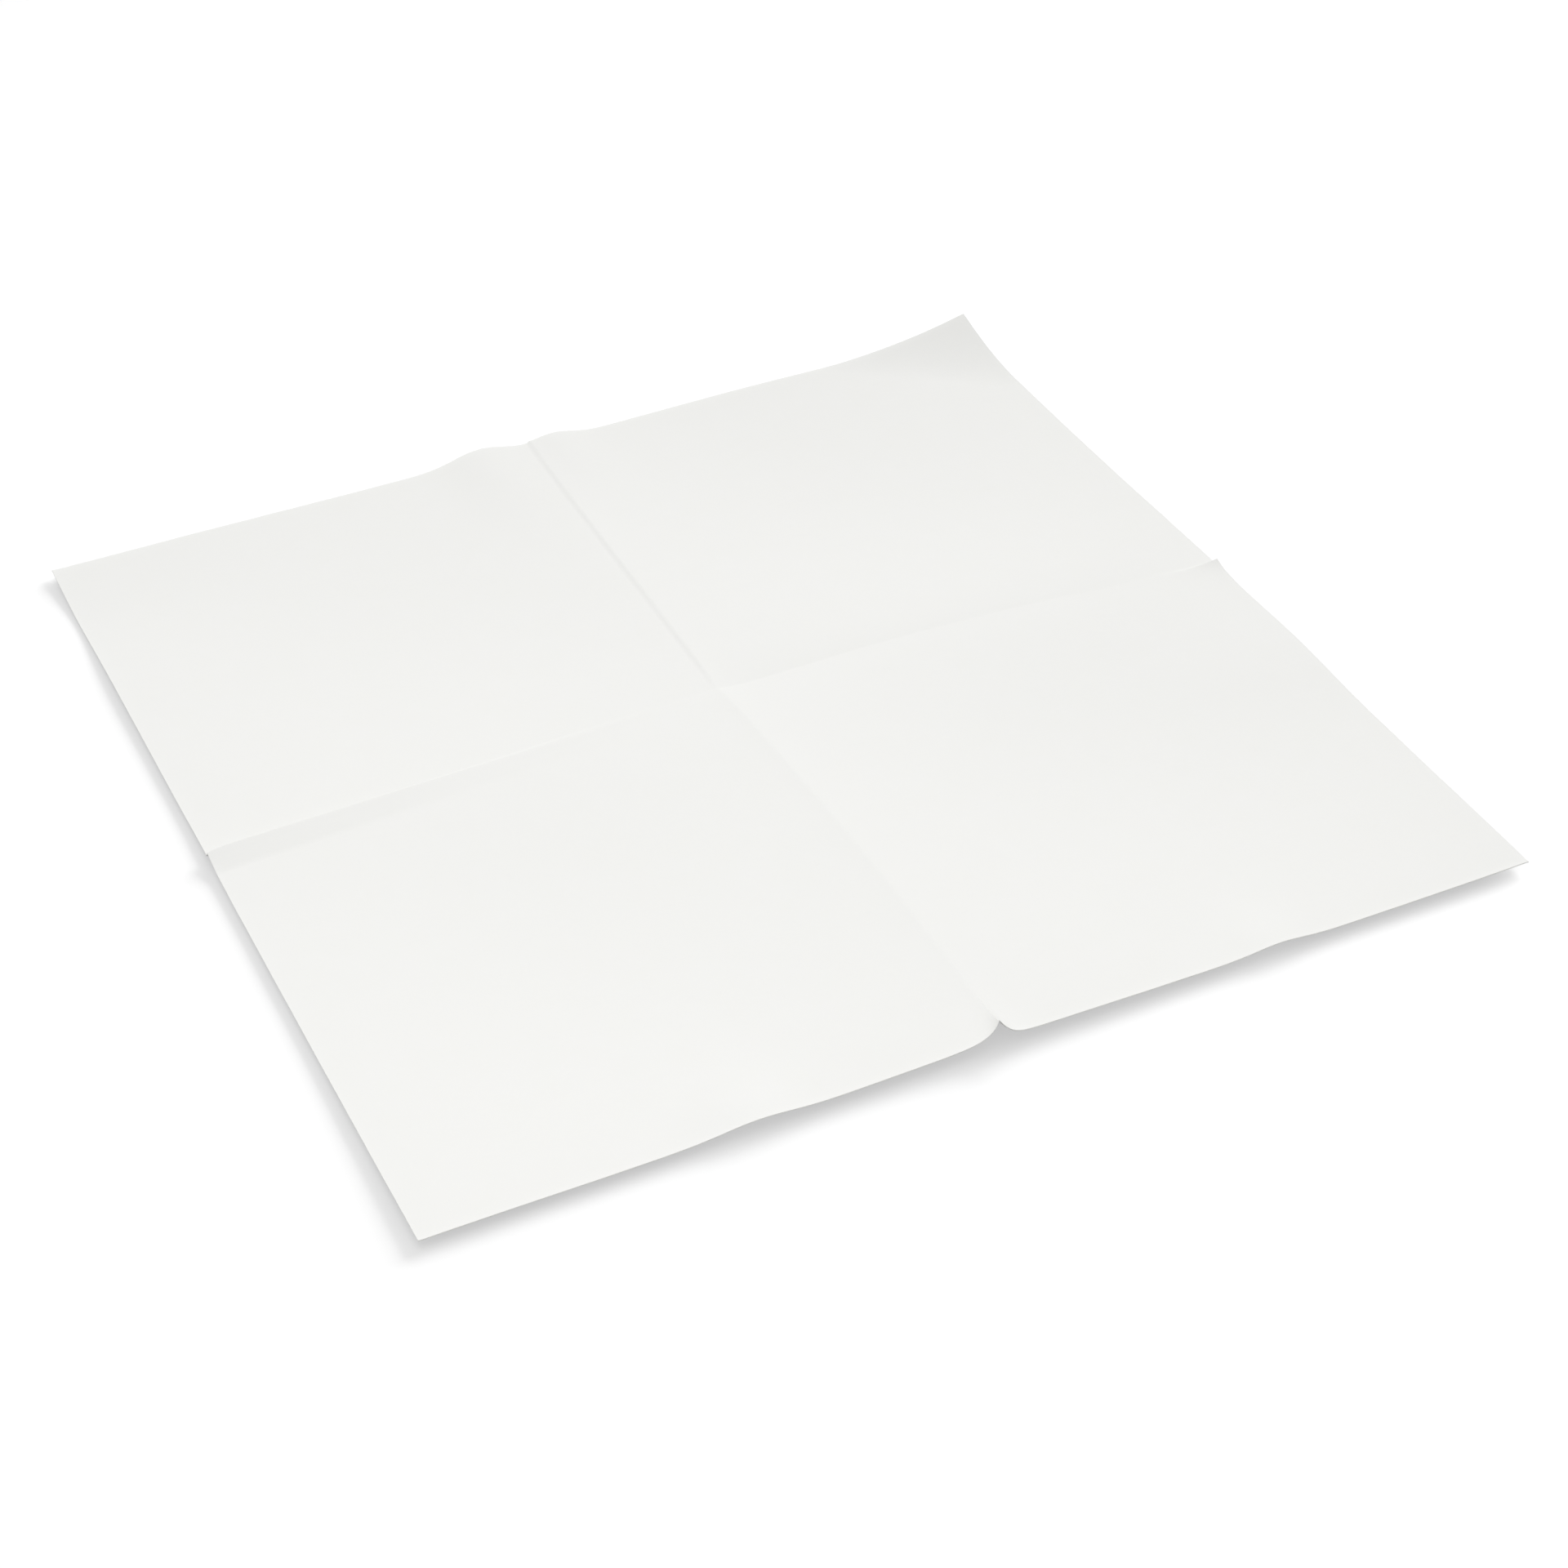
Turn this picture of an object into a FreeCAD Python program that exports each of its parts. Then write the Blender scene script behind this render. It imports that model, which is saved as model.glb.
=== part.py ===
import FreeCAD, Part
import math
import os

# Paper napkin, opened out flat after it was folded in four
#
# One square of thin two-ply tissue, cut on four sides. Two folds cross near its middle and
# leave a crease in it, so it no longer lies flat: each quarter sags onto the table, while the
# free edges and the creases stay a few millimetres up. The front crease is pinched up at its
# end, the other three keep a small lip, and the back right corner curls.
#
# Frame: millimetres, +Z up. The origin is under the middle of the square, on the table.
# +X is to the right and +Y to the back, as the napkin is seen from the front.

document = FreeCAD.newDocument("paper_napkin")

# Driving dimensions
# Each row is a name, a size in millimetres, and what it measures.
driving_dimensions = [
    ("side_length", 330.0, "each side of the opened square"),
    ("paper_thickness", 0.4, "both plies together, with their embossing"),
    # Where the two creases lie: hand folding leaves them a little off the middle
    ("crossing_x", -4.0, "the crossing of the creases"),
    ("crossing_y", 9.0, "the crossing of the creases"),
    ("front_end_x", -1.4, "where the front crease meets the front edge"),
    ("back_end_x", -0.9, "where the back crease meets the back edge"),
    ("left_end_y", 3.5, "where the left crease meets the left edge"),
    ("right_end_y", 0.0, "where the right crease meets the right edge"),
    ("front_bow", 1.9, "how far the front crease bends to the right"),
    ("right_bow", 3.3, "how far the right crease bends to the back"),
    # Heights of the underside above the table
    ("rim_height", 3.2, "the corners and the free edges"),
    ("crossing_height", 5.4, "the crossing"),
    ("front_middle_height", 5.5, "the front crease, halfway"),
    ("front_end_height", 4.2, "the front crease, beside its pinched end"),
    ("back_middle_height", 4.5, "the back crease, halfway"),
    ("back_end_height", 3.0, "the back crease, at its end"),
    ("left_middle_height", 4.1, "the left crease, halfway"),
    ("left_end_height", 2.0, "the left crease, beside the lip at its end"),
    ("right_middle_height", 5.9, "the right crease, halfway"),
    ("right_end_height", 4.2, "the right crease, beside the lip at its end"),
    ("tent_spread", 55.0, "how far to each side a crease lifts the sheet"),
    # Between a corner and a crease, each half of a free edge rises or sags a little more
    ("front_edge_left_rise", -0.2, "the left half of the front edge"),
    ("front_edge_right_rise", -0.1, "the right half of the front edge"),
    ("back_edge_left_rise", -0.4, "the left half of the back edge"),
    ("back_edge_right_rise", 0.8, "the right half of the back edge"),
    ("left_edge_front_rise", -1.2, "the front half of the left edge"),
    ("left_edge_back_rise", -1.2, "the back half of the left edge"),
    ("right_edge_front_rise", -0.1, "the front half of the right edge"),
    ("right_edge_back_rise", -0.4, "the back half of the right edge"),
    # The sharp relief along each crease
    ("relief_onset", 6.0, "how far from the crossing the relief of a crease starts"),
    ("front_ridge_height", 0.9, "the front crease is a ridge"),
    ("front_ridge_left_flank", 8.0, "the width of its left flank"),
    ("front_ridge_right_flank", 5.0, "the width of its right flank"),
    ("pinch_height", 5.9, "the peak that the ridge is pinched into at the front edge"),
    ("pinch_left_flank", 3.8, "the width of the peak's left flank"),
    ("pinch_right_flank", 1.9, "the width of the peak's right flank"),
    ("pinch_run", 10.0, "how far the peak reaches back along the ridge"),
    ("pinch_lean", 1.9, "how far the peak leans to the left"),
    ("back_lip_height", 0.6, "the fine lip on the right of the back crease"),
    ("back_lip_flank", 8.0, "the width of the lip"),
    ("back_groove_depth", 0.25, "the groove on the left of the lip"),
    ("back_groove_wall", 2.0, "the width of the steep wall between them"),
    ("back_groove_flank", 6.0, "the width of the groove"),
    ("left_lip_height", 2.5, "the lip in front of the left crease, at its end"),
    ("left_lip_flank", 6.5, "the width of the lip"),
    ("left_lip_run", 60.0, "how far the lip reaches along the crease"),
    ("right_lip_height", 2.6, "the lip in front of the right crease, at its end"),
    ("right_lip_flank", 5.0, "the width of the lip"),
    ("right_lip_run", 14.0, "how far the lip reaches along the crease"),
    ("side_lip_wall", 2.0, "the width of the steep wall behind the left and right lips"),
    ("right_groove_depth", 0.8, "the right crease is a shallow groove"),
    ("right_groove_front_flank", 25.0, "the width of its front flank"),
    ("right_groove_back_flank", 8.0, "the width of its back flank"),
    # The back right corner curls up along a line that cuts it off
    ("curl_on_back_edge", 56.0, "from the corner to where the curl starts on the back edge"),
    ("curl_on_right_edge", 27.0, "from the corner to where the curl starts on the right edge"),
    ("curl_height", 8.4, "the lift of the corner"),
    ("curl_pull", 2.6, "how far the curl draws the corner to the left"),
    # Shallow waves along the free edges. The place and the width are along the edge, the
    # reach is into the sheet.
    ("front_left_wave_place", -72.8, "wave in the front edge"),
    ("front_left_wave_height", 1.7, "wave in the front edge"),
    ("front_left_wave_width", 13.0, "wave in the front edge"),
    ("front_left_wave_reach", 20.0, "wave in the front edge"),
    ("front_right_wave_place", 83.2, "wave in the front edge"),
    ("front_right_wave_height", 1.45, "wave in the front edge"),
    ("front_right_wave_width", 10.4, "wave in the front edge"),
    ("front_right_wave_reach", 16.0, "wave in the front edge"),
    ("back_left_wave_place", -18.4, "wave in the back edge, left of the crease"),
    ("back_left_wave_height", 4.3, "wave in the back edge, left of the crease"),
    ("back_left_wave_width", 12.0, "wave in the back edge, left of the crease"),
    ("back_left_wave_reach", 13.0, "wave in the back edge, left of the crease"),
    ("back_right_wave_place", 7.7, "wave in the back edge, right of the crease"),
    ("back_right_wave_height", 2.85, "wave in the back edge, right of the crease"),
    ("back_right_wave_width", 9.0, "wave in the back edge, right of the crease"),
    ("back_right_wave_reach", 9.0, "wave in the back edge, right of the crease"),
    ("right_wave_place", -47.0, "wave in the right edge"),
    ("right_wave_height", 1.25, "wave in the right edge"),
    ("right_wave_width", 25.0, "wave in the right edge"),
    ("right_wave_reach", 40.0, "wave in the right edge"),
    ("left_wave_place", 136.0, "hollow in the left edge, near the back corner"),
    ("left_wave_height", -1.8, "hollow in the left edge, near the back corner"),
    ("left_wave_width", 26.0, "hollow in the left edge, near the back corner"),
    ("left_wave_reach", 40.0, "hollow in the left edge, near the back corner"),
]

sizes = document.addObject("Spreadsheet::Sheet", "sizes")
for row, (alias, value, meaning) in enumerate(driving_dimensions, start=1):
    sizes.set(f"A{row}", alias)
    sizes.set(f"B{row}", str(value))
    sizes.setAlias(f"B{row}", alias)
    sizes.set(f"C{row}", meaning)
document.recompute()


def size(alias):
    return float(sizes.get(alias))


half_side = size("side_length") / 2
crossing = FreeCAD.Vector(size("crossing_x"), size("crossing_y"), 0)


# The creases: four arms from the crossing to the middle of each side
# Each has the place of its end, and its height along the way.
def arm(name, end):
    return {
        "end": end,
        "heights": (size("crossing_height"), size(f"{name}_middle_height"), size(f"{name}_end_height")),
    }


arms = {
    "front": arm("front", FreeCAD.Vector(size("front_end_x"), -half_side, 0)),
    "back": arm("back", FreeCAD.Vector(size("back_end_x"), half_side, 0)),
    "left": arm("left", FreeCAD.Vector(-half_side, size("left_end_y"), 0)),
    "right": arm("right", FreeCAD.Vector(half_side, size("right_end_y"), 0)),
}


def crest_height(heights, along):
    """Height of a crease, on the parabola through its start, middle and end."""
    start, middle, end = heights
    return (
        start * (1 - along) * (1 - 2 * along)
        + middle * 4 * along * (1 - along)
        + end * along * (2 * along - 1)
    )


def fade(distance, width):
    """1 at a crease, falling off with the distance from it."""
    return math.exp(-abs(distance) / width)


def swell(distance, width):
    """1 at the middle of a rounded hump, falling off smoothly around it."""
    return math.exp(-((distance / width) ** 2))


# The relief that each crease keeps from its fold
def pinch(to_right, to_front_edge):
    """Share of the pinched peak at the front end of the ridge."""
    flank = size("pinch_right_flank") if to_right > 0 else size("pinch_left_flank")
    return fade(to_right, flank) * fade(to_front_edge, size("pinch_run"))


def front_relief(to_right, to_front_edge):
    flank = size("front_ridge_right_flank") if to_right > 0 else size("front_ridge_left_flank")
    ridge = size("front_ridge_height") * fade(to_right, flank)
    return ridge + size("pinch_height") * pinch(to_right, to_front_edge)


def back_relief(to_right):
    if to_right > 0:
        return size("back_lip_height") * fade(to_right, size("back_lip_flank"))
    wall = swell(to_right, size("back_groove_wall"))
    groove = size("back_groove_depth") * fade(to_right, size("back_groove_flank"))
    return size("back_lip_height") * wall - groove * (1 - wall)


def side_lip(name, to_back, to_side_edge):
    """The lip in front of the left or right crease, with its steep wall behind."""
    height = size(f"{name}_lip_height") * fade(to_side_edge, size(f"{name}_lip_run"))
    if to_back > 0:
        return height * swell(to_back, size("side_lip_wall"))
    return height * fade(to_back, size(f"{name}_lip_flank"))


# A change at a free edge keeps to the edge: its share falls off with this power further in
edge_power = 4


def right_groove(to_back, along):
    """The groove along the right crease. It ends before the free edge."""
    flank = size("right_groove_back_flank") if to_back > 0 else size("right_groove_front_flank")
    return size("right_groove_depth") * (1 - along**edge_power) * fade(to_back, flank)


# The waves that the free edges have between the creases: place, height, and half width in x and y
edge_waves = []
for name, edge_y in [
    ("front_left_wave", -half_side),
    ("front_right_wave", -half_side),
    ("back_left_wave", half_side),
    ("back_right_wave", half_side),
]:
    place = FreeCAD.Vector(size(f"{name}_place"), edge_y, 0)
    edge_waves.append((place, size(f"{name}_height"), size(f"{name}_width"), size(f"{name}_reach")))
for name, edge_x in [("right_wave", half_side), ("left_wave", -half_side)]:
    place = FreeCAD.Vector(edge_x, size(f"{name}_place"), 0)
    edge_waves.append((place, size(f"{name}_height"), size(f"{name}_reach"), size(f"{name}_width")))


def wave_height(x, y):
    """Sum of the edge waves."""
    total = 0.0
    for place, height, width_x, width_y in edge_waves:
        total += height * swell(x - place.x, width_x) * swell(y - place.y, width_y)
    return total


# The curl of the back right corner, bent about a line between the two edges
curl_axis = FreeCAD.Vector(size("curl_on_right_edge"), size("curl_on_back_edge"), 0).normalize()
curl_depth = size("curl_on_back_edge") * curl_axis.x
curl_roundness = 1.5


def curl_share(x, y):
    """0 up to the line where the curl starts, 1 at the corner."""
    beyond_line = curl_depth - (half_side - x) * curl_axis.x - (half_side - y) * curl_axis.y
    return max(0.0, beyond_line / curl_depth) ** curl_roundness


# One point of the sheet
# A quarter is named by its end, front or back, and its side. Both shares run from 0 at the
# crease to 1 at the free edge.
def sheet_point(end, side, side_share, end_share):
    end_arm, side_arm = arms[end], arms[side]
    corner = FreeCAD.Vector(side_arm["end"].x, end_arm["end"].y, 0)
    place = (
        crossing * ((1 - side_share) * (1 - end_share))
        + side_arm["end"] * (side_share * (1 - end_share))
        + end_arm["end"] * ((1 - side_share) * end_share)
        + corner * (side_share * end_share)
    )
    if end == "front":
        place.x += size("front_bow") * math.sin(math.pi * end_share) * (1 - side_share)
    if side == "right":
        place.y += size("right_bow") * math.sin(math.pi * side_share) * (1 - end_share)

    # Signed distances from the creases, across the sheet, and distances from the free edges
    to_right = side_share * (side_arm["end"].x - crossing.x)
    to_back = end_share * (end_arm["end"].y - crossing.y)
    to_end_edge = (1 - end_share) * half_side
    to_side_edge = (1 - side_share) * half_side

    rim = size("rim_height")
    lift_at_end_arm = swell(to_right, size("tent_spread"))
    lift_at_side_arm = swell(to_back, size("tent_spread"))
    sag_across = math.sin(math.pi * side_share)
    sag_along = math.sin(math.pi * end_share)
    height = rim * (1 - sag_across * sag_along)
    height += (crest_height(end_arm["heights"], end_share) - rim) * lift_at_end_arm
    height += (crest_height(side_arm["heights"], side_share) - rim) * lift_at_side_arm
    height -= (size("crossing_height") - rim) * lift_at_end_arm * lift_at_side_arm
    height += size(f"{end}_edge_{side}_rise") * sag_across * end_share**edge_power
    height += size(f"{side}_edge_{end}_rise") * sag_along * side_share**edge_power

    # Each relief fades out before the other crease, so that the four quarters meet
    clear_of_side_arm = 1 - fade(to_back, size("relief_onset"))
    clear_of_end_arm = 1 - fade(to_right, size("relief_onset"))
    if end == "front":
        height += front_relief(to_right, to_end_edge) * clear_of_side_arm
        place.x -= size("pinch_lean") * pinch(to_right, to_end_edge)
    else:
        height += back_relief(to_right) * clear_of_side_arm
    height += side_lip(side, to_back, to_side_edge) * clear_of_end_arm
    if side == "right":
        height -= right_groove(to_back, side_share) * clear_of_end_arm

    height += wave_height(place.x, place.y)
    curl = curl_share(place.x, place.y)
    place.x -= size("curl_pull") * curl
    place.z = height + size("curl_height") * curl
    return place


# The quarters
# Each is one smooth face between two creases and two free edges. Its control points lie
# closer together at the creases and at the edges, where the paper bends most.
degree = 3
control_steps = 19
crowding = 0.7


def quarter_face(end, side):
    shares = []
    for step in range(control_steps + 1):
        even = step / control_steps
        shares.append((1 - crowding) * even + crowding * even * even * (3 - 2 * even))
    poles = [[sheet_point(end, side, a, b) for b in shares] for a in shares]
    spans = control_steps + 1 - degree
    knots = [float(knot) for knot in range(spans + 1)]
    repeats = [degree + 1] + [1] * (spans - 1) + [degree + 1]
    surface = Part.BSplineSurface()
    surface.buildFromPolesMultsKnots(poles, repeats, repeats, knots, knots, False, False, degree, degree)
    return surface.toShape()


# Each quarter's underside is raised by the thickness of the paper into a solid
thick_quarters = []
for end, side in [("front", "left"), ("front", "right"), ("back", "right"), ("back", "left")]:
    underside = document.addObject("Part::Feature", f"{end}_{side}_underside")
    underside.Shape = quarter_face(end, side)
    quarter = document.addObject("Part::Extrusion", f"{end}_{side}_quarter")
    quarter.Base = underside
    quarter.DirMode = "Custom"
    quarter.Dir = FreeCAD.Vector(0, 0, 1)
    quarter.Solid = True
    quarter.setExpression("LengthFwd", "sizes.paper_thickness")
    thick_quarters.append(quarter)

# The quarters are one uncut sheet, joined along the creases
napkin_sheet = document.addObject("Part::MultiFuse", "napkin_sheet")
napkin_sheet.Label = "napkin_sheet"
napkin_sheet.Shapes = thick_quarters
napkin_sheet.Refine = True
document.recompute()

# It lies on the table by its lowest point
lowest = napkin_sheet.Shape.optimalBoundingBox(False, False).ZMin
napkin_sheet.Placement = FreeCAD.Placement(FreeCAD.Vector(0, 0, -lowest), FreeCAD.Rotation())
document.recompute()

# Every object is sound before anything is written
for item in document.Objects:
    if "Invalid" in item.State or "Error" in item.State:
        raise RuntimeError(f"{item.Name} did not compute: {item.State}")
shape = napkin_sheet.Shape
if shape.isNull() or not shape.isValid() or len(shape.Solids) != 1:
    raise RuntimeError("napkin_sheet is not one sound solid")

os.makedirs("parts", exist_ok=True)
shape.exportStep(f"parts/{napkin_sheet.Label}.step")
print(f"napkin_sheet: {shape.Volume:.0f} mm3, {len(shape.Faces)} faces, box {shape.optimalBoundingBox()}")
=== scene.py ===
import math

import bpy
import numpy as np
from mathutils import Matrix, Vector


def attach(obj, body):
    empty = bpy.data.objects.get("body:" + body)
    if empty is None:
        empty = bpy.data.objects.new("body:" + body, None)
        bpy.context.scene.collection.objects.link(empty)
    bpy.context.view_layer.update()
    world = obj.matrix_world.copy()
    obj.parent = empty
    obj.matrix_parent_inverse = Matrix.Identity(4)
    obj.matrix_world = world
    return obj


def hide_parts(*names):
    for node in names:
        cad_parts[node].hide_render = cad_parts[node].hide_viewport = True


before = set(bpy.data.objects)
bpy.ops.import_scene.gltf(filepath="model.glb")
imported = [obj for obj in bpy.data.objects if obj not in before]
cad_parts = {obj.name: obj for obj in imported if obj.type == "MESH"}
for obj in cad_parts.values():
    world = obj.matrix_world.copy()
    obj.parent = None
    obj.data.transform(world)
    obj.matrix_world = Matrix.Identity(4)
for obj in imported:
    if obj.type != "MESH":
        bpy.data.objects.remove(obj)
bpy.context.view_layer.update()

# Napkin sheet
# One square of two-ply tissue, folded in four at the mill and opened out by hand. Nothing holds
# it: each quarter sags onto the table, and the creases and the free edges stay a little up.
mm = 0.001
side_length = 330.0
half_side = side_length / 2
paper_thickness = 0.4

# Where the creases run: their crossing, their four ends, and how far two of them bend
crossing_x, crossing_y = -4.0, 9.0
front_end_x, back_end_x = -1.4, -0.9
left_end_y, right_end_y = 3.5, 0.0
front_bow, right_bow = 1.9, 4.6

# Heights of the underside over the table: along each crease, from the crossing to its end, and
# at the free edges, where each half of an edge rises or sags a little between its corners
rim_height = 3.2
front_heights = (5.4, 5.5, 4.2)
back_heights = (5.4, 4.5, 3.0)
left_heights = (5.4, 4.4, 2.0)
right_heights = (5.4, 5.6, 4.2)
tent_spread = 55.0
front_edge_rises, back_edge_rises = (-0.2, -0.1), (-0.4, 1.27)
left_edge_rises, right_edge_rises = (-1.2, -1.2), (-0.1, -0.56)


def crest_height(heights, along):
    """Height of a crease, on the parabola through its start, middle and end."""
    start, middle, end = heights
    return (
        start * (1 - along) * (1 - 2 * along)
        + middle * 4 * along * (1 - along)
        + end * along * (2 * along - 1)
    )


def fade(distance, width):
    """1 at a crease, falling off with the distance from it."""
    return np.exp(-np.abs(distance) / width)


def swell(distance, width):
    """1 at the middle of a rounded hump, falling off smoothly around it."""
    return np.exp(-((distance / width) ** 2))


def pick(is_far, pair):
    """The second of a pair on the right or at the back, and the first elsewhere."""
    return np.where(is_far, pair[1], pair[0])


# The relief that each crease keeps from its fold. The front one is a ridge, pinched up into a
# leaning peak at its end. The left and right ones lie in a shallow groove, and have a lip near
# their ends with a steep wall behind it. The back one is a fine lip beside a groove.
relief_onset = 6.0
front_ridge_height, front_ridge_flanks = 0.9, (8.0, 5.0)
pinch_height, pinch_flanks, pinch_run, pinch_lean = 5.9, (3.8, 1.9), 6.5, 1.9
back_lip_height, back_lip_flank, back_lip_wall = 0.4, 6.0, 0.8
back_groove_depth, back_groove_flank = 0.15, 6.0
left_lip_height, left_lip_reach = 2.6, 8.0
left_lip_taper, left_lip_taper_run = 0.35, 3.0
right_lip_height, right_lip_flank, right_lip_run = 2.2, 5.0, 6.0
side_lip_wall = 0.6
left_groove_depth, left_groove_flank = 0.6, 20.0
right_groove_depth, right_groove_flanks = 2.0, (16.0, 12.0)

# At the cut the front and left edges turn up a little, and the back and right ones down
end_edge_turn, side_edge_turn, edge_turn_reaches = 0.35, 0.15, (1.2, 6.0)

# Waves along the free edges: place, height, outward push, and half width in x and in y
edge_waves = [
    (-72.8, -half_side, 1.7, 0.0, 13.0, 20.0),
    (83.2, -half_side, 1.45, 0.0, 10.4, 16.0),
    (-18.4, half_side, 2.5, 2.5, 13.0, 30.0),
    (7.7, half_side, 1.7, 1.6, 9.0, 26.0),
    (half_side, -47.0, 1.25, 0.0, 40.0, 25.0),
    (-half_side, 136.0, -1.8, 0.0, 40.0, 26.0),
]

# The back right corner curls up beyond a line that cuts it off, and is drawn in by that
curl_on_back_edge, curl_on_right_edge = 60.0, 40.0
curl_height, curl_roundness = 9.5, 1.76
curl_pull_left, curl_pull_front, curl_pull_roundness = 3.25, 1.73, 1.16


def sheet_form(across, along):
    """x, y and z in millimetres of the underside.

    Both shares run from -1 at the left or front edge, by 0 at a crease, to 1 at the right or
    back edge.
    """
    on_right, on_back = across > 0, along > 0
    a, b = np.abs(across), np.abs(along)
    side_x = np.where(on_right, half_side, -half_side)
    side_y = np.where(on_right, right_end_y, left_end_y)
    end_x = np.where(on_back, back_end_x, front_end_x)
    end_y = np.where(on_back, half_side, -half_side)
    x = crossing_x * (1 - a) * (1 - b) + side_x * a + end_x * (1 - a) * b
    y = crossing_y * (1 - a) * (1 - b) + side_y * a * (1 - b) + end_y * b
    x += np.where(on_back, 0, front_bow) * np.sin(np.pi * b) * (1 - a)
    y += np.where(on_right, right_bow, 0) * np.sin(np.pi * a) * (1 - b)

    to_right = a * (side_x - crossing_x)
    to_back = b * (end_y - crossing_y)
    to_side_edge, to_end_edge = (1 - a) * half_side, (1 - b) * half_side
    at_end_crease = swell(to_right, tent_spread)
    at_side_crease = swell(to_back, tent_spread)
    end_crest = np.where(on_back, crest_height(back_heights, b), crest_height(front_heights, b))
    side_crest = np.where(on_right, crest_height(right_heights, a), crest_height(left_heights, a))
    z = rim_height * (1 - np.sin(np.pi * a) * np.sin(np.pi * b))
    z += (end_crest - rim_height) * at_end_crease
    z += (side_crest - rim_height) * at_side_crease
    z -= (front_heights[0] - rim_height) * at_end_crease * at_side_crease
    end_rise = np.where(on_back, pick(on_right, back_edge_rises), pick(on_right, front_edge_rises))
    side_rise = np.where(on_right, pick(on_back, right_edge_rises), pick(on_back, left_edge_rises))
    z += end_rise * np.sin(np.pi * a) * b**4 + side_rise * np.sin(np.pi * b) * a**4

    pinch = fade(to_right, pick(on_right, pinch_flanks)) * fade(to_end_edge, pinch_run)
    front_relief = front_ridge_height * fade(to_right, pick(on_right, front_ridge_flanks))
    front_relief += pinch_height * pinch
    wall = swell(to_right, back_lip_wall)
    groove = back_groove_depth * fade(to_right, back_groove_flank)
    lip = back_lip_height * fade(to_right, back_lip_flank)
    back_relief = np.where(on_right, lip, back_lip_height * wall - groove * (1 - wall))
    behind = swell(to_back, side_lip_wall)
    left_relief = left_lip_height * a**2
    left_relief *= 1 - left_lip_taper * fade(to_side_edge, left_lip_taper_run)
    left_relief *= np.where(on_back, behind, np.maximum(0, 1 + to_back / left_lip_reach))
    left_relief -= left_groove_depth * (1 - a**4) * fade(to_back, left_groove_flank)
    right_relief = right_lip_height * fade(to_side_edge, right_lip_run)
    right_relief *= np.where(on_back, behind, fade(to_back, right_lip_flank))
    right_groove = fade(to_back, pick(on_back, right_groove_flanks))
    right_relief -= right_groove_depth * (1 - a**4) * right_groove
    z += np.where(on_back, back_relief, front_relief) * (1 - fade(to_back, relief_onset))
    z += np.where(on_right, right_relief, left_relief) * (1 - fade(to_right, relief_onset))
    near, far = edge_turn_reaches
    end_turn = end_edge_turn * (fade(to_end_edge, near) - fade(to_end_edge, far))
    side_turn = side_edge_turn * (fade(to_side_edge, near) - fade(to_side_edge, far))
    z += np.where(on_back, -end_turn, end_turn) + np.where(on_right, -side_turn, side_turn)
    x -= np.where(on_back, 0.0, pinch_lean * pinch)

    for wave_x, wave_y, height, push, width_x, width_y in edge_waves:
        wave = swell(x - wave_x, width_x) * swell(y - wave_y, width_y)
        y = y + push * wave
        z += height * wave

    axis = np.array((curl_on_right_edge, curl_on_back_edge))
    axis /= np.linalg.norm(axis)
    depth = curl_on_back_edge * axis[0]
    beyond = depth - (half_side - x) * axis[0] - (half_side - y) * axis[1]
    curled = np.maximum(0, beyond / depth)
    pull = curled**curl_pull_roundness
    z += curl_height * curled**curl_roundness
    return x - curl_pull_left * pull, y - curl_pull_front * pull, z


# The sheet's points lie closer together at the creases and at the cut edges
grid_steps = 100
crowding = 0.65
even = np.linspace(0, 1, grid_steps + 1)
half_shares = (1 - crowding) * even + crowding * even * even * (3 - 2 * even)
shares = np.concatenate((-half_shares[:0:-1], half_shares))
across, along = np.meshgrid(shares, shares)
under = np.stack(sheet_form(across, along), axis=-1)
rows, columns = across.shape
over = under + (0, 0, paper_thickness)
points = np.concatenate((under.reshape(-1, 3), over.reshape(-1, 3)))
index = np.arange(rows * columns).reshape(rows, columns)
first_over = rows * columns
corners = [index[:-1, :-1], index[:-1, 1:], index[1:, 1:], index[1:, :-1]]
upper_faces = np.stack(corners, axis=-1).reshape(-1, 4) + first_over
lower_faces = np.stack(corners[::-1], axis=-1).reshape(-1, 4)

# The cut edge shows both plies: two rounded lips with a fine gap between them
ply_profile = [(0.25, 0.05), (0.5, -0.15), (0.75, 0.05)]
edge_loop = np.concatenate((index[0, :-1], index[:-1, -1], index[-1, :0:-1], index[:0:-1, 0]))
both_shares = np.stack((across, along), axis=-1).reshape(-1, 2)[edge_loop]
outward = np.sign(both_shares) * (np.abs(both_shares) == 1)
columns_of_edge = [edge_loop]
for share, bulge in ply_profile:
    columns_of_edge.append(len(points) + np.arange(len(edge_loop)))
    ply = points[edge_loop] + (0, 0, share * paper_thickness)
    ply[:, :2] += outward * bulge
    points = np.concatenate((points, ply))
columns_of_edge.append(edge_loop + first_over)
edge_faces = []
for low, high in zip(columns_of_edge, columns_of_edge[1:]):
    edge_faces.append(np.stack((low, np.roll(low, -1), np.roll(high, -1), high), axis=-1))

flat_mesh = bpy.data.meshes.new("napkin_sheet_form")
all_faces = np.concatenate((upper_faces, lower_faces, *edge_faces))
flat_mesh.from_pydata((points * mm).tolist(), [], all_faces.tolist())
sheet_form_object = bpy.data.objects.new("napkin_sheet_form", flat_mesh)
bpy.context.scene.collection.objects.link(sheet_form_object)


def add_node(tree, kind, settings, inputs):
    """Adds a node to a tree, with its settings, and a value or a link for each input."""
    made = tree.nodes.new(kind)
    for name, value in settings.items():
        setattr(made, name, value)
    for name, value in inputs.items():
        if isinstance(value, bpy.types.NodeSocket):
            tree.links.new(value, made.inputs[name])
        else:
            made.inputs[name].default_value = value
    return made


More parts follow.
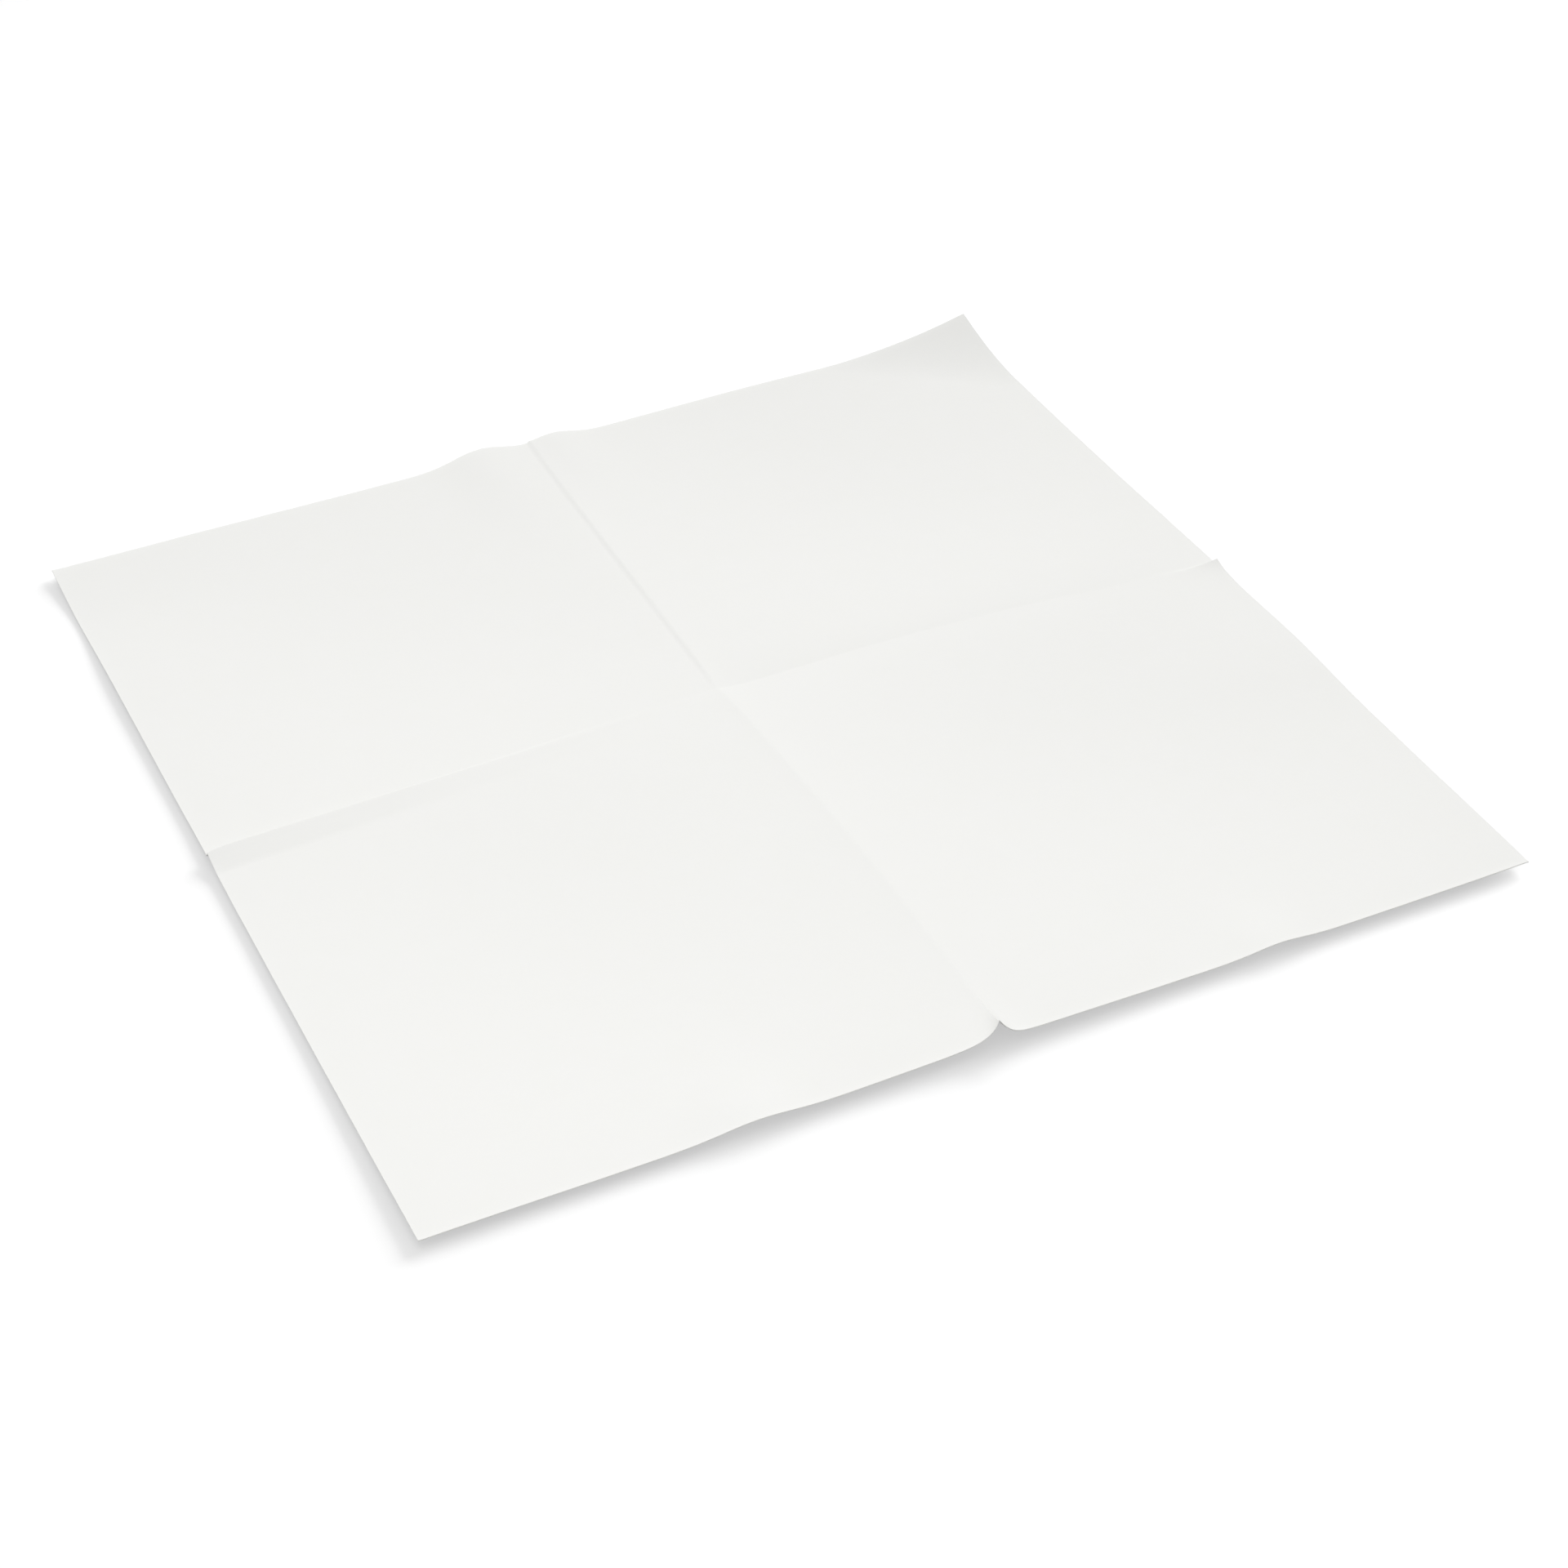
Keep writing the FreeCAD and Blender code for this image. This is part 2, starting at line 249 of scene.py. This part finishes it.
def from_hex(colour):
    """An sRGB hex colour as linear red, green, blue and alpha."""
    channels = [int(colour[i : i + 2], 16) / 255 for i in (1, 3, 5)]
    return [c / 12.92 if c <= 0.04045 else ((c + 0.055) / 1.055) ** 2.4 for c in channels] + [1]


# Two-ply bleached pulp tissue, creped and calendered: a soft matt white that scatters light
# evenly, a little cloudy where the fibres lie thicker, with a few grey pulp flecks.
tissue = bpy.data.materials.new("bleached_tissue_paper")
tissue.use_nodes = True
tree = tissue.node_tree
tree.nodes.clear()
place = add_node(tree, "ShaderNodeTexCoord", {}, {}).outputs["Object"]
# The fibres and the crepe are drawn about twice as coarse as the real ones, or they wouldn't show
cloud_size, fibre_size, crepe_pitch, grain_depth = 9 * mm, 1.1 * mm, 1.3 * mm, 0.02 * mm
fleck_spacing, fleck_radius, share_with_fleck = 42 * mm, 0.32 * mm, 0.12
clouds = add_node(
    tree, "ShaderNodeTexNoise", {}, {"Vector": place, "Scale": 1 / cloud_size, "Detail": 3.0}
)
cloudy = add_node(tree, "ShaderNodeMix", {"data_type": "RGBA"}, {0: clouds.outputs["Fac"]})
cloudy.inputs[6].default_value = from_hex("#F4F4F1")
cloudy.inputs[7].default_value = from_hex("#F5F5F3")
flecks = add_node(tree, "ShaderNodeTexVoronoi", {}, {"Vector": place, "Scale": 1 / fleck_spacing})
fleck_draw = add_node(tree, "ShaderNodeSeparateColor", {}, {"Color": flecks.outputs["Color"]})
has_fleck = add_node(
    tree, "ShaderNodeMath", {"operation": "LESS_THAN"}, {0: fleck_draw.outputs["Red"], 1: share_with_fleck}
)
near_fleck = add_node(
    tree,
    "ShaderNodeMath",
    {"operation": "LESS_THAN"},
    {0: flecks.outputs["Distance"], 1: fleck_radius / fleck_spacing},
)
fleck_share = add_node(
    tree, "ShaderNodeMath", {"operation": "MULTIPLY"}, {0: has_fleck.outputs[0], 1: near_fleck.outputs[0]}
)
flecked = add_node(
    tree, "ShaderNodeMix", {"data_type": "RGBA"}, {0: fleck_share.outputs[0], 6: cloudy.outputs[2]}
)
flecked.inputs[7].default_value = from_hex("#D9D8D2")
fibres = add_node(
    tree, "ShaderNodeTexNoise", {}, {"Vector": place, "Scale": 1 / fibre_size, "Detail": 2.0}
)
crepe_stretch = add_node(tree, "ShaderNodeMapping", {}, {"Vector": place, "Scale": (0.25, 1, 1)})
crepe = add_node(
    tree,
    "ShaderNodeTexNoise",
    {},
    {"Vector": crepe_stretch.outputs[0], "Scale": 1 / crepe_pitch, "Detail": 1.0},
)
grain = add_node(
    tree, "ShaderNodeMath", {"operation": "ADD"}, {0: fibres.outputs["Fac"], 1: crepe.outputs["Fac"]}
)
grain_bump = add_node(
    tree,
    "ShaderNodeBump",
    {},
    {"Height": grain.outputs[0], "Distance": grain_depth, "Strength": 1.0},
)
rough = add_node(
    tree, "ShaderNodeMapRange", {}, {"Value": fibres.outputs["Fac"], "To Min": 0.88, "To Max": 0.98}
)
paper = add_node(
    tree,
    "ShaderNodeBsdfPrincipled",
    {},
    {
        "Base Color": flecked.outputs[2],
        "Roughness": rough.outputs[0],
        "IOR": 1.47,
        "Specular IOR Level": 0.2,
        "Normal": grain_bump.outputs[0],
    },
)
add_node(tree, "ShaderNodeOutputMaterial", {}, {"Surface": paper.outputs[0]})

# The faint crinkle that thin tissue keeps everywhere, and the slightly uneven cut of its edges
crinkle = bpy.data.node_groups.new("tissue_crinkle", "GeometryNodeTree")
crinkle.is_modifier = True
crinkle.interface.new_socket("Sheet", in_out="INPUT", socket_type="NodeSocketGeometry")
crinkle.interface.new_socket("Sheet", in_out="OUTPUT", socket_type="NodeSocketGeometry")
crinkle_inputs = {}
for name, kind in [
    ("Crinkle Height", "NodeSocketFloat"),
    ("Crinkle Width", "NodeSocketFloat"),
    ("Edge Wander", "NodeSocketFloat"),
    ("Seed", "NodeSocketFloat"),
    ("Paper", "NodeSocketMaterial"),
]:
    crinkle_inputs[name] = crinkle.interface.new_socket(name, in_out="INPUT", socket_type=kind)
given = crinkle.nodes.new("NodeGroupInput").outputs
here = add_node(crinkle, "GeometryNodeInputPosition", {}, {})
here_parts = add_node(crinkle, "ShaderNodeSeparateXYZ", {}, {0: here.outputs[0]})
in_plan = add_node(
    crinkle, "ShaderNodeCombineXYZ", {}, {0: here_parts.outputs[0], 1: here_parts.outputs[1]}
)
per_metre = add_node(
    crinkle, "ShaderNodeMath", {"operation": "DIVIDE"}, {0: 1.0, 1: given["Crinkle Width"]}
)
folds = add_node(
    crinkle,
    "ShaderNodeTexNoise",
    {"noise_dimensions": "4D"},
    {"Vector": in_plan.outputs[0], "W": given["Seed"], "Scale": per_metre.outputs[0], "Detail": 2.0},
)
signed = add_node(
    crinkle,
    "ShaderNodeVectorMath",
    {"operation": "SUBTRACT"},
    {0: folds.outputs["Color"], 1: (0.5, 0.5, 0.5)},
)
reach = add_node(
    crinkle,
    "ShaderNodeCombineXYZ",
    {},
    {0: given["Edge Wander"], 1: given["Edge Wander"], 2: given["Crinkle Height"]},
)
shift = add_node(
    crinkle, "ShaderNodeVectorMath", {"operation": "MULTIPLY"}, {0: signed.outputs[0], 1: reach.outputs[0]}
)
moved = add_node(
    crinkle, "GeometryNodeSetPosition", {}, {"Geometry": given["Sheet"], "Offset": shift.outputs[0]}
)
whole = add_node(crinkle, "GeometryNodeRealizeInstances", {}, {"Geometry": moved.outputs[0]})
papered = add_node(
    crinkle, "GeometryNodeSetMaterial", {}, {"Geometry": whole.outputs[0], "Material": given["Paper"]}
)
add_node(crinkle, "NodeGroupOutput", {}, {"Sheet": papered.outputs[0]})

crinkled = sheet_form_object.modifiers.new("tissue_crinkle", "NODES")
crinkled.node_group = crinkle
for name, value in {
    "Crinkle Height": 0.25 * mm,
    "Crinkle Width": 30 * mm,
    "Edge Wander": 0.3 * mm,
    "Seed": 4.0,
    "Paper": tissue,
}.items():
    crinkled[crinkle_inputs[name].identifier] = value
evaluated = sheet_form_object.evaluated_get(bpy.context.evaluated_depsgraph_get())
sheet_mesh = bpy.data.meshes.new_from_object(evaluated)
sheet_form_object.modifiers.clear()
bpy.data.objects.remove(sheet_form_object)

# It lies on the table by its lowest points
sheet_mesh.name = "napkin_sheet_paper"
lowest = min(vertex.co.z for vertex in sheet_mesh.vertices)
sheet_mesh.transform(Matrix.Translation((0, 0, -lowest)))
sheet_mesh.shade_smooth()
sheet_mesh.set_sharp_from_angle(angle=math.radians(40))
napkin = bpy.data.objects.new("napkin_sheet_paper", sheet_mesh)
bpy.context.scene.collection.objects.link(napkin)
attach(napkin, "root")
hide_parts("napkin_sheet")

# Table
# A plain pale table top, much larger than the napkin. To the camera it is white wherever light
# reaches it, and it keeps the soft shadow that the raised edges throw.
table_half, table_colour, table_glow = 0.6, "#9C9C9C", 0.5
table_sides = [(-1, -1), (1, -1), (1, 1), (-1, 1)]
table_mesh = bpy.data.meshes.new("table")
table_corners = [(side_x * table_half, side_y * table_half, 0) for side_x, side_y in table_sides]
table_mesh.from_pydata(table_corners, [], [(0, 1, 2, 3)])
table = bpy.data.objects.new("table", table_mesh)
bpy.context.scene.collection.objects.link(table)


def seen_share(tree):
    """1 for rays from the camera, a glossy surface or glass, and 0 for the light on the paper."""
    path = add_node(tree, "ShaderNodeLightPath", {}, {}).outputs
    seen = path["Is Camera Ray"]
    for ray in ("Is Glossy Ray", "Is Transmission Ray"):
        either = add_node(tree, "ShaderNodeMath", {"operation": "MAXIMUM"}, {0: seen, 1: path[ray]})
        seen = either.outputs[0]
    return seen


laminate = bpy.data.materials.new("pale_laminate")
laminate.use_nodes = True
tree = laminate.node_tree
tree.nodes.clear()
lit = add_node(tree, "ShaderNodeBsdfDiffuse", {}, {"Color": from_hex(table_colour)})
own_white = add_node(tree, "ShaderNodeEmission", {}, {"Color": (1, 1, 1, 1)})
glow = add_node(
    tree, "ShaderNodeMath", {"operation": "MULTIPLY"}, {0: seen_share(tree), 1: table_glow}
)
tree.links.new(glow.outputs[0], own_white.inputs["Strength"])
top = add_node(tree, "ShaderNodeAddShader", {}, {0: lit.outputs[0], 1: own_white.outputs[0]})
add_node(tree, "ShaderNodeOutputMaterial", {}, {"Surface": top.outputs[0]})
table_mesh.materials.append(laminate)

# Studio light
# A white room gives most of the light. A softbox over the front lifts the front quarters, and
# one low at the back right shades the creases and the waves of the edges.
walls_strength, backdrop_strength = 0.615, 1.0
room = bpy.data.worlds.new("studio_room")
bpy.context.scene.world = room
room.use_nodes = True
tree = room.node_tree
tree.nodes.clear()
walls = add_node(
    tree, "ShaderNodeBackground", {}, {"Color": (1, 1, 1, 1), "Strength": walls_strength}
)
backdrop = add_node(
    tree, "ShaderNodeBackground", {}, {"Color": (1, 1, 1, 1), "Strength": backdrop_strength}
)
room_mix = add_node(
    tree,
    "ShaderNodeMixShader",
    {},
    {0: seen_share(tree), 1: walls.outputs[0], 2: backdrop.outputs[0]},
)
add_node(tree, "ShaderNodeOutputWorld", {}, {"Surface": room_mix.outputs[0]})


def add_softbox(name, azimuth, elevation, distance, width, share):
    """A square lamp that faces the napkin.

    Azimuth and elevation are in degrees, from the back towards the right and from the table up.
    Distance and width are in metres. Share is the lamp's part of the light on a white table.
    """
    lamp = bpy.data.lights.new(name, "AREA")
    lamp.size = width
    a, e = math.radians(azimuth), math.radians(elevation)
    towards = Vector((math.sin(a) * math.cos(e), math.cos(a) * math.cos(e), math.sin(e)))
    lamp.energy = math.pi**2 * distance**2 * share / math.sin(e)
    box = bpy.data.objects.new(name, lamp)
    box.location = towards * distance
    box.rotation_mode = "QUATERNION"
    box.rotation_quaternion = towards.to_track_quat("Z", "Y")
    bpy.context.scene.collection.objects.link(box)
    return box


add_softbox("front_softbox", azimuth=215, elevation=68, distance=0.85, width=0.7, share=0.285)
add_softbox("back_right_softbox", azimuth=30, elevation=28, distance=3.5, width=1.3, share=0.135)

# The photo's ground is lit harder than the paper on it. So one more lamp, low at the right,
# reaches only the table, and gives the napkin most of its shadow.
table_softbox = add_softbox(
    "table_softbox", azimuth=68, elevation=25, distance=2.5, width=1.5, share=0.9
)
lit_by_it = bpy.data.collections.new("table_only")
lit_by_it.objects.link(table)
table_softbox.light_linking.receiver_collection = lit_by_it

# Camera
# It stands to the left of the front and looks down on the napkin, turned a little about its
# own line of sight.
view_azimuth, view_elevation, view_roll = map(math.radians, (25.1, 37.59, -0.92))
distance = 940.7 * mm
target = Vector((-5.9, -40.8, 4.2)) * mm
forward = Vector(
    (
        math.sin(view_azimuth) * math.cos(view_elevation),
        math.cos(view_azimuth) * math.cos(view_elevation),
        -math.sin(view_elevation),
    )
)
level_right = forward.cross((0, 0, 1)).normalized()
level_up = level_right.cross(forward)
right = level_right * math.cos(view_roll) + level_up * math.sin(view_roll)
up = level_up * math.cos(view_roll) - level_right * math.sin(view_roll)
lens = bpy.data.cameras.new("camera")
lens.sensor_width = 36.0
lens.lens = 74.87
lens.clip_start, lens.clip_end = 0.05, 20.0
camera = bpy.data.objects.new("camera", lens)
camera.rotation_mode = "QUATERNION"
camera.rotation_quaternion = Matrix((right, up, -forward)).transposed().to_quaternion()
camera.location = target - forward * distance
bpy.context.scene.collection.objects.link(camera)
bpy.context.scene.camera = camera
bpy.context.scene.view_settings.view_transform = "Standard"
